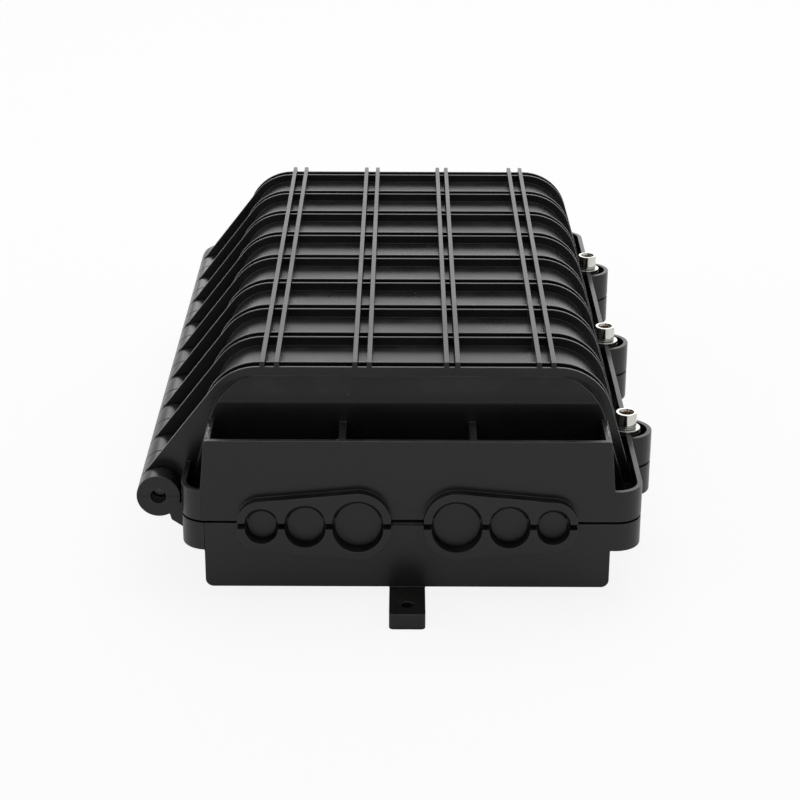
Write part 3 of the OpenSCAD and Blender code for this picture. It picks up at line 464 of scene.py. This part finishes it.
def makeMouldLine(name, axis, faceY, outward):
    work, place = mouldLineWork, mouldPlace
    bm = bmesh.new()
    length = place["barrelRadius"] - place["boreRadius"] - 2 * work["inset"]
    for side in (-1, 1):
        middle = Vector((axis.x + side * (place["barrelRadius"] + place["boreRadius"]) / 2,
                         faceY + outward * work["proud"] / 2, axis.z))
        bmesh.ops.create_cube(bm, size=1.0, matrix=Matrix.Translation(middle) @ Matrix.Diagonal(
            (length, work["proud"] * 2, work["height"], 1.0)))
    bm.faces.layers.float.new("rubbed")
    finishPiece(bm, name, bodyOf["base_shell"], ["closureBlack"])


def markMouldings():
    place = mouldPlace
    chance = random.Random(flashWork["seed"])
    coverVerts = [v.co for v in frame["nodes"]["cover_shell"].data.vertices]
    low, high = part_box("cover_shell")
    hinge = next(j for j in frame["record"]["behaviour"]["joints"] if j["type"] == "hinge")
    axis = Vector(hinge["pos_m"])
    pinLow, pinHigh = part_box("hinge_pin")
    for end, endName, edgeY, pinY in ((-1, "Front", low.y, pinLow.y), (1, "Rear", high.y, pinHigh.y)):
        faceY = edgeY - end * place["collarOut"]
        onFace = [v for v in coverVerts if abs(v.y - faceY) < place["near"]]
        top = max(v.z for v in onFace)
        corners = [v.x for v in onFace if v.z > top - place["near"]]
        for x, side in ((min(corners), "HingeSide"), (max(corners), "BoltSide")):
            inward = Vector((-1.0 if x > 0 else 1.0, -end, 0.0))
            makeFlash("mouldFlash" + endName + side, Vector((x, faceY, top)), inward, chance)
        makeMouldLine("mouldLine" + endName, axis, pinY + end * place["pinRecess"], end)


markMouldings()
print("mould marks made")


def makeFloor():
    bm = bmesh.new()
    bmesh.ops.create_grid(bm, x_segments=1, y_segments=1, size=6.0)
    mesh = bpy.data.meshes.new("floor")
    bm.to_mesh(mesh)
    bm.free()
    floor = bpy.data.objects.new("floor", mesh)
    bpy.context.scene.collection.objects.link(floor)
    material = bpy.data.materials.new("paleFloor")
    material.use_nodes = True
    tree = material.node_tree
    shader = tree.nodes["Principled BSDF"]
    shader.inputs["Base Color"].default_value = (0.86, 0.86, 0.86, 1.0)
    shader.inputs["Roughness"].default_value = 0.9
    glow = addNode(tree, "ShaderNodeEmission", {"Color": (1, 1, 1, 1), "Strength": 1.0})
    paths = addNode(tree, "ShaderNodeLightPath")
    share = compute(tree, "MULTIPLY", paths.outputs["Is Camera Ray"], 0.88)
    blend = addNode(tree, "ShaderNodeMixShader")
    join(tree, share, blend.inputs["Fac"])
    join(tree, shader.outputs["BSDF"], blend.inputs[1])
    join(tree, glow.outputs["Emission"], blend.inputs[2])
    join(tree, blend.outputs["Shader"], tree.nodes["Material Output"].inputs["Surface"])
    mesh.materials.append(material)


def makeWorld():
    world = bpy.data.worlds.new("studio")
    bpy.context.scene.world = world
    world.use_nodes = True
    tree = world.node_tree
    room = tree.nodes["Background"]
    room.inputs["Color"].default_value = (1.0, 1.0, 1.0, 1.0)
    room.inputs["Strength"].default_value = 0.55
    backdrop = addNode(tree, "ShaderNodeBackground", {"Color": (1, 1, 1, 1), "Strength": 1.0})
    paths = addNode(tree, "ShaderNodeLightPath")
    blend = addNode(tree, "ShaderNodeMixShader")
    join(tree, paths.outputs["Is Camera Ray"], blend.inputs["Fac"])
    join(tree, room.outputs["Background"], blend.inputs[1])
    join(tree, backdrop.outputs["Background"], blend.inputs[2])
    join(tree, blend.outputs["Shader"], tree.nodes["World Output"].inputs["Surface"])


def addSoftbox(name, place, target, size, power):
    lamp = bpy.data.lights.new(name, "AREA")
    lamp.shape = "RECTANGLE"
    lamp.size, lamp.size_y = size
    lamp.energy = power
    holder = bpy.data.objects.new(name, lamp)
    bpy.context.scene.collection.objects.link(holder)
    holder.location = place
    holder.rotation_euler = (Vector(target) - Vector(place)).to_track_quat("-Z", "Y").to_euler()


def makeCamera():
    lens = bpy.data.cameras.new("camera")
    lens.lens, lens.sensor_width = 93.15, 36.0
    lens.clip_start, lens.clip_end = 0.05, 50.0
    camera = bpy.data.objects.new("camera", lens)
    bpy.context.scene.collection.objects.link(camera)
    turn = (Matrix.Rotation(math.radians(0.09), 4, "Z") @ Matrix.Rotation(math.radians(67.25), 4, "X")
            @ Matrix.Rotation(math.radians(0.17), 4, "Z"))
    camera.matrix_world = Matrix.Translation((-0.0022, -1.0205, 0.4489)) @ turn
    bpy.context.scene.camera = camera


makeFloor()
makeWorld()
addSoftbox("overhead", (0.1, 0.5, 1.6), (0, 0, 0.05), (1.6, 1.2), 12.0)
addSoftbox("backWall", (0.9, 3.0, 1.05), (0, 0, 0.05), (5.2, 1.9), 38.0)
addSoftbox("leftFill", (-1.5, -0.5, 0.9), (0, 0, 0.05), (1.0, 1.0), 3.0)
makeCamera()
bpy.context.scene.view_settings.view_transform = "Standard"
print("stage set")
